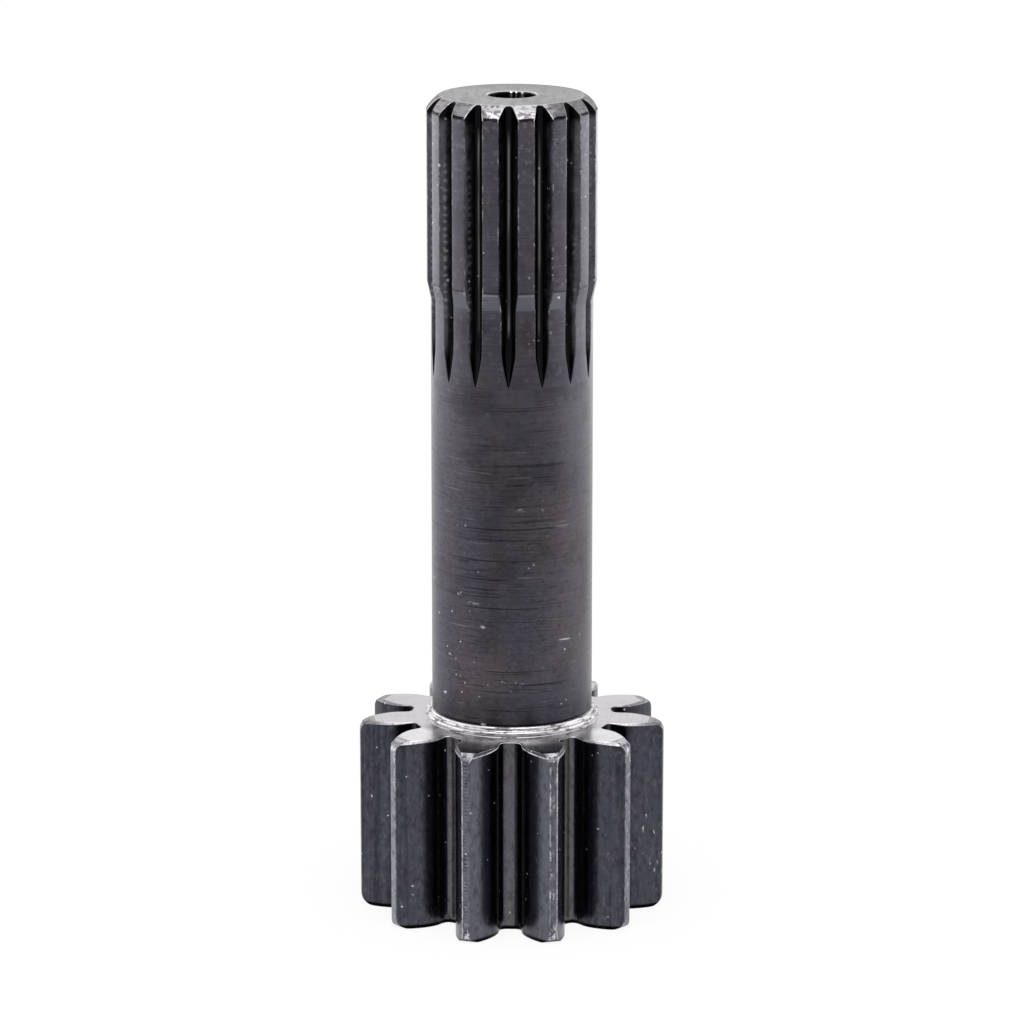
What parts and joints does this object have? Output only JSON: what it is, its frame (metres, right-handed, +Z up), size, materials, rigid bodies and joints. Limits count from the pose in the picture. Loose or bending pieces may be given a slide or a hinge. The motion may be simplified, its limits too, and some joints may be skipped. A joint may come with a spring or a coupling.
{
  "type": "drive shaft",
  "caption": "Steel drive shaft with a pinion cut on its lower end, a plain middle and a stub spline with run-outs on its upper end.",
  "frame": {"origin": "on the shaft's axis, at the pinion's lower face", "axes": "+Z up the shaft towards the splined end, -Y through the tooth space that faces the front"},
  "size_m": [0.0754, 0.0747, 0.203],
  "materials": {
    "steel": "dark heat-treated steel, with bright turned faces at both ends of the pinion and the shaft"
  },
  "bodies": {
    "root": {"drive_shaft": "steel"}
  },
  "joints": []
}
